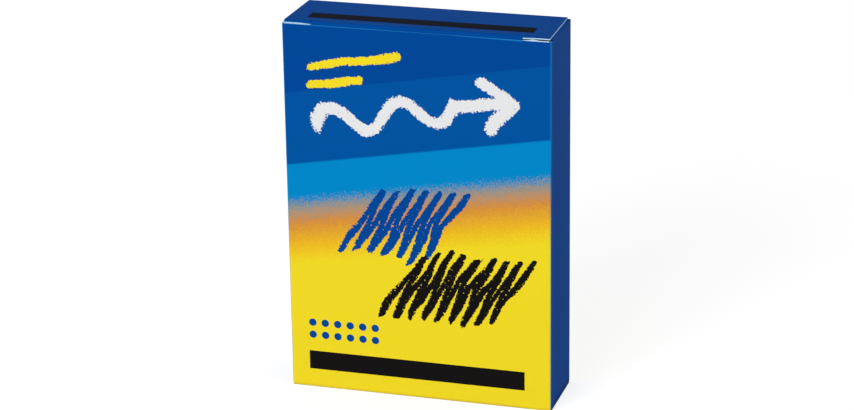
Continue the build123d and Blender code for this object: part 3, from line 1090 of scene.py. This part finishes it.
for v in lid.data.vertices:
    along = (abs(v.co.x) - fold_half) / slit_length
    if along > 0.001:
        side = 1 if v.co.x > 0 else -1
        reach = slit_reach + (corner_reach - slit_reach) * along
        near_front = max(0, 1 - (v.co.y - lid_low.y) / reach)
        at_slit = max(0, 1 - along / hang_end)
        hang = hang_beyond[side] + (hang_at_slit[side] - hang_beyond[side]) * at_slit
        pressed = knife_press[side] if near_front > 0.99 and v.co.z < lid_axis.z else 0
        v.co.z += pressed - hang * near_front ** 3
board_materials(lid, lid_board, up,
                lambda face: face.center.y > lid_axis.y and abs(face.normal.x) < 0.1, print_ends=-0.05)
finish_edges(lid, lambda p: p.y < lid_axis.y - board and abs(p.x) > fold_half + slit_end, lid_lip_rounding)
paint(lid, ink, lambda face: face.material_index == core and face.normal.z > 0.5)
print_inside_slits(lid)
put_on(lid, "lid", "lid_panel")

# %% [markdown]
# ## Fold of the lid
# Between the slits the lid turns down into the tuck flap over a soft fold. Lid and tuck flap are two bodies
# with a hinge between them, and a rigid piece would open a gap on one of them. So the fold is a strip of
# its own: a narrow plane, spun round the fold's axis and given the board's thickness.

# %% Fold of the lid
fold_centre = Vector((0, fold_y, lid_high.z - fold_radius))
outward = Vector((0, -cos(tuck_lean), -sin(tuck_lean)))
down_flap = Vector((0, sin(tuck_lean), -cos(tuck_lean)))

fold = sheet("lid_fold", up, Vector((-fold_half, fold_y, lid_high.z)),
             Vector((fold_half, fold_y + fold_leg, lid_high.z)))
bend(fold, lies_at(1, fold_y), fold_centre, (1, 0, 0), 90 + lean_degrees, down_flap * fold_leg)
thicken(fold, up + outward, lid_board)
smooth_rounds(fold)
print_inside_slits(fold)
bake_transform(fold)
print("fold between lid and tuck flap,", len(fold.data.polygons), "faces")

# %% [markdown]
# ## Tuck flap
# The tuck flap hangs from the fold, behind the front wall, and leans in a little. It starts as an upright
# plate. Its sides are cut to a taper, and its lower corners are bevelled round, so that it slides in
# easily. Then it is turned about its hinge line to its lean.

# %% Tuck flap
tuck_length = 10.5 * mm
tuck_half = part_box("tuck_flap")[1].x
tuck_taper = 1.2 * mm
tuck_corner = 5 * mm
tuck_top = tuck_axis.z - fold_reach - fold_leg
tip_z = tuck_axis.z - tuck_length

tuck = block("tuck_tongue", Vector((-tuck_half, tuck_axis.y - board / 2, tip_z)),
             Vector((tuck_half, tuck_axis.y + board / 2, tuck_top)))
for side in (-1, 1):
    taper = tuck_taper / (tuck_top - tip_z)
    cut(tuck, (side * tuck_half, 0, tuck_top), (side, 0, -taper), away=True, fill=True)
pick(tuck, "edges", lambda edge: lies_at(2, tip_z)(edge)
     and abs(edge.verts[0].co.x - edge.verts[1].co.x) < mm)
bpy.ops.mesh.bevel(offset=tuck_corner, segments=12, affect="EDGES")
bpy.ops.mesh.select_all(action="SELECT")
bpy.ops.transform.rotate(value=-tuck_lean, orient_axis="X", center_override=tuck_axis)
board_materials(tuck, blue_board, outward, lambda face: False, print_ends=0)
finish_edges(tuck, lambda p: p.z < tuck_top - edge_zone or abs(p.x) > fold_half)
put_on(tuck, "tuck", "tuck_flap")

# %% [markdown]
# ## Dust flaps
# A dust flap folds off each side wall, under the lid. Both its long edges are cut back towards the free
# end, so that it clears the front and the lid as it rises, and the corners there are rounded. Only a strip
# along the crease is printed, because the rest is never seen on a closed carton.

# %% Dust flaps
dust_shoulder = 11 * mm
dust_front_slope = 0.25
dust_rear_slope = 0.41
dust_corner = 2.5 * mm
bleed_width = 6.0
crease_print = 0.8 * mm


def bleed_picture(tree, place, x, y, z):
    """Blue along the crease and white beyond it."""
    printed = calc(tree, "GREATER_THAN", calc(tree, "ABSOLUTE", x), half_width / mm - bleed_width)
    return blend_colours(tree, printed, white, solid_blue(tree, place, x, y, z))


dust_board = varnished("dust_board", bleed_picture)
for side, hand in ((-1, "left"), (1, "right")):
    body = hand + "_dust"
    low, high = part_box(body + "_flap")
    axis_x = hinge[body + "_crease"].x
    flap = block("dust_flap_" + hand, low, high)
    round_end(flap, lambda edge: lies_at(0, side * half_width)(edge)
              and abs(edge.verts[0].co.y - edge.verts[1].co.y) > mm)
    shoulder_x = axis_x - side * dust_shoulder
    cut(flap, (shoulder_x, low.y, 0), (-side * dust_front_slope, -1, 0), away=True, fill=True)
    cut(flap, (axis_x, high.y, 0), (-side * dust_rear_slope, 1, 0), away=True, fill=True)
    free_end = min(abs(low.x), abs(high.x))
    pick(flap, "edges", lambda edge: all(abs(abs(v.co.x) - free_end) < near for v in edge.verts)
         and abs(edge.verts[0].co.z - edge.verts[1].co.z) > edge_zone)
    bpy.ops.mesh.bevel(offset=dust_corner, segments=8, affect="EDGES")
    round_x = abs(axis_x) - crease_print
    cut(flap, (side * round_x, 0, 0), (1, 0, 0))
    board_materials(flap, dust_board, up, lambda face: abs(face.center.x) > round_x, print_ends=-0.7)
    finish_edges(flap, lambda p: abs(p.x) < abs(axis_x) - board)
    put_on(flap, body, body + "_flap")

# %% [markdown]
# ## Wax, paper and glue
# A marker is a stick of black wax, cast with a cone at one end, in a sleeve of blue paper. Wax is almost
# black, with a soft shine, fine flow marks and a grey bloom here and there. The sleeve is matt paper. The
# glue of seam and bottom is dry and yellowish. Its model parts have the right shape already, so they only
# get this finish.

# %% Wax, paper and glue
wax_black = (0.010, 0.010, 0.011, 1)
bloom_grey = (0.045, 0.045, 0.048, 1)
sleeve_blue = (0.024, 0.185, 0.48, 1)
sleeve_light_blue = (0.034, 0.225, 0.55, 1)
fibre_blue = (0.10, 0.33, 0.66, 1)
glue_cream = (0.74, 0.68, 0.52, 1)
glue_brown = (0.60, 0.53, 0.37, 1)


def black_wax():
    """Almost black, with a grey bloom where two noises meet."""
    finish, tree = new_finish("black_wax")
    place = place_in_mm(tree)[0]
    cloud = speckle(tree, place, 0.35, 4.0)
    grain = speckle(tree, place, 4.0, 3.0)
    bloom = ramp_between(tree, calc(tree, "MULTIPLY", cloud, grain), 0.28, 0.48)
    colour = blend_colours(tree, bloom, wax_black, bloom_grey)
    relief = calc(tree, "ADD", cloud, calc(tree, "MULTIPLY", grain, 0.25))
    gloss = node(tree, "MapRange", {0: cloud, 1: 0.3, 2: 0.7, 3: 0.34, 4: 0.52})
    coat(tree, colour, gloss, shine=0.45, height=relief, strength=0.25, depth=0.15 * mm)
    return finish


def sleeve_paper():
    """Matt blue paper with lighter fibres."""
    finish, tree = new_finish("sleeve_paper")
    place = place_in_mm(tree)[0]
    fibres = speckle(tree, place, 5.0, 5.0)
    tone = speckle(tree, place, 0.15, 2.0)
    colour = blend_colours(tree, tone, sleeve_blue, sleeve_light_blue)
    colour = blend_colours(tree, ramp_between(tree, fibres, 0.60, 0.75), colour, fibre_blue)
    roughness = node(tree, "MapRange", {0: fibres, 3: 0.5, 4: 0.75})
    coat(tree, colour, roughness, shine=0.3, height=fibres, strength=0.3, depth=0.04 * mm)
    return finish


def dry_glue():
    """Streaky, yellowish and a little glossy."""
    finish, tree = new_finish("dry_glue")
    place = place_in_mm(tree)[0]
    streaks = speckle(tree, place, 0.8, 4.0)
    colour = blend_colours(tree, streaks, glue_cream, glue_brown)
    roughness = node(tree, "MapRange", {0: streaks, 3: 0.25, 4: 0.5})
    coat(tree, colour, roughness, shine=0.5, height=streaks, strength=0.4, depth=0.05 * mm)
    return finish


wax = black_wax()
paper_wrap = sleeve_paper()
glue = dry_glue()
for glue_node in ("seam_glue", "bottom_glue"):
    frame["nodes"][glue_node].material_slots[0].material = glue
print("marker finishes:", wax.name, paper_wrap.name, glue.name)

# %% [markdown]
# ## Wax stick
# All twelve sticks are alike, so one is modelled on the upright axis. It is a cylinder whose top is
# extruded and drawn in to the cone, with its edges rounded as casting leaves them.

# %% Wax stick
wax_low, wax_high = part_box("marker_01_wax")
wax_radius = (wax_high.x - wax_low.x) / 2
wax_length = wax_high.z - wax_low.z
cone_length = 11.8 * mm
nose_radius = 1.1 * mm
cone_start = wax_length - cone_length
edge_roundings = {0: 0.6 * mm, cone_start: 0.5 * mm, wax_length: 0.45 * mm}

bpy.ops.object.select_all(action="DESELECT")
bpy.ops.mesh.primitive_cylinder_add(vertices=64, radius=wax_radius, depth=cone_start,
                                    location=(0, 0, cone_start / 2))
stick = settle("wax_stick")
pick(stick, "faces", lies_at(2, cone_start))
bpy.ops.mesh.extrude_region_move(TRANSFORM_OT_translate={"value": (0, 0, cone_length)})
shrink = nose_radius / wax_radius
bpy.ops.transform.resize(value=(shrink, shrink, 1))
for level, rounding in edge_roundings.items():
    pick(stick, "edges", lies_at(2, level))
    bpy.ops.mesh.bevel(offset=rounding, segments=4, affect="EDGES")
bpy.ops.object.mode_set(mode="OBJECT")
stick.data.materials.append(wax)
bpy.ops.object.shade_smooth_by_angle(angle=radians(35))
print("stick", round(wax_length / mm, 1), "mm long,", len(stick.data.polygons), "faces")

# %% [markdown]
# ## Paper sleeve
# The sleeve is one turn of paper round the stick. It is modelled as an open cylinder, a strip of it is
# raised where the paper laps over itself, and Solidify makes it as thick as paper.

# %% Paper sleeve
sleeve_low, sleeve_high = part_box("marker_01_sleeve")
sleeve_radius = (sleeve_high.x - sleeve_low.x) / 2
sleeve_length = sleeve_high.z - sleeve_low.z
lap_height = 0.06 * mm
lap_half_angle = radians(18)
wax_gap = 0.02 * mm

bpy.ops.object.select_all(action="DESELECT")
bpy.ops.mesh.primitive_cylinder_add(vertices=80, radius=sleeve_radius - lap_height, depth=sleeve_length,
                                    end_fill_type="NOTHING", location=(0, 0, sleeve_length / 2))
sleeve = settle("paper_sleeve")
pick(sleeve, "faces", lambda face: face.normal.angle(Vector((0, 1, 0))) < lap_half_angle)
bpy.ops.mesh.extrude_region_shrink_fatten(TRANSFORM_OT_shrink_fatten={"value": lap_height})
bpy.ops.object.mode_set(mode="OBJECT")
bpy.ops.object.modifier_add(type="SOLIDIFY")
paper_wall = sleeve.modifiers[-1]
paper_wall.thickness = sleeve_radius - lap_height - wax_radius - wax_gap
paper_wall.offset = -1
bpy.ops.object.modifier_apply(modifier=paper_wall.name)
sleeve.data.materials.append(paper_wrap)
bpy.ops.object.shade_smooth_by_angle(angle=radians(30))
print("sleeve", round(sleeve_length / mm, 1), "mm long,", len(sleeve.data.polygons), "faces")

# %% [markdown]
# ## Twelve markers
# Each marker of the model gets a copy of the stick and of the sleeve, at its own place. The copies are
# turned by different angles, so that the laps of the sleeves don't line up. The two masters are deleted at
# the end.

# %% Twelve markers
def stand_copy(master, name, node_name, turn):
    """Copy a piece to a node's place on the floor of the carton, turned about its upright axis."""
    low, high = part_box(node_name)
    bpy.ops.object.select_all(action="DESELECT")
    master.select_set(True)
    bpy.context.view_layer.objects.active = master
    bpy.ops.object.duplicate()
    copy = bpy.context.object
    copy.rotation_euler.z = turn
    copy.location = ((low.x + high.x) / 2, (low.y + high.y) / 2, low.z)
    put_on(settle(name), "carton", node_name)


marker_count = 12
golden_turn = radians(137.5)
for number in range(1, marker_count + 1):
    label = f"{number:02d}"
    stand_copy(stick, "wax_" + label, f"marker_{label}_wax", number * golden_turn)
    stand_copy(sleeve, "sleeve_" + label, f"marker_{label}_sleeve", number * golden_turn)
bpy.ops.object.select_all(action="DESELECT")
for master in (stick, sleeve):
    master.select_set(True)
bpy.ops.object.delete()
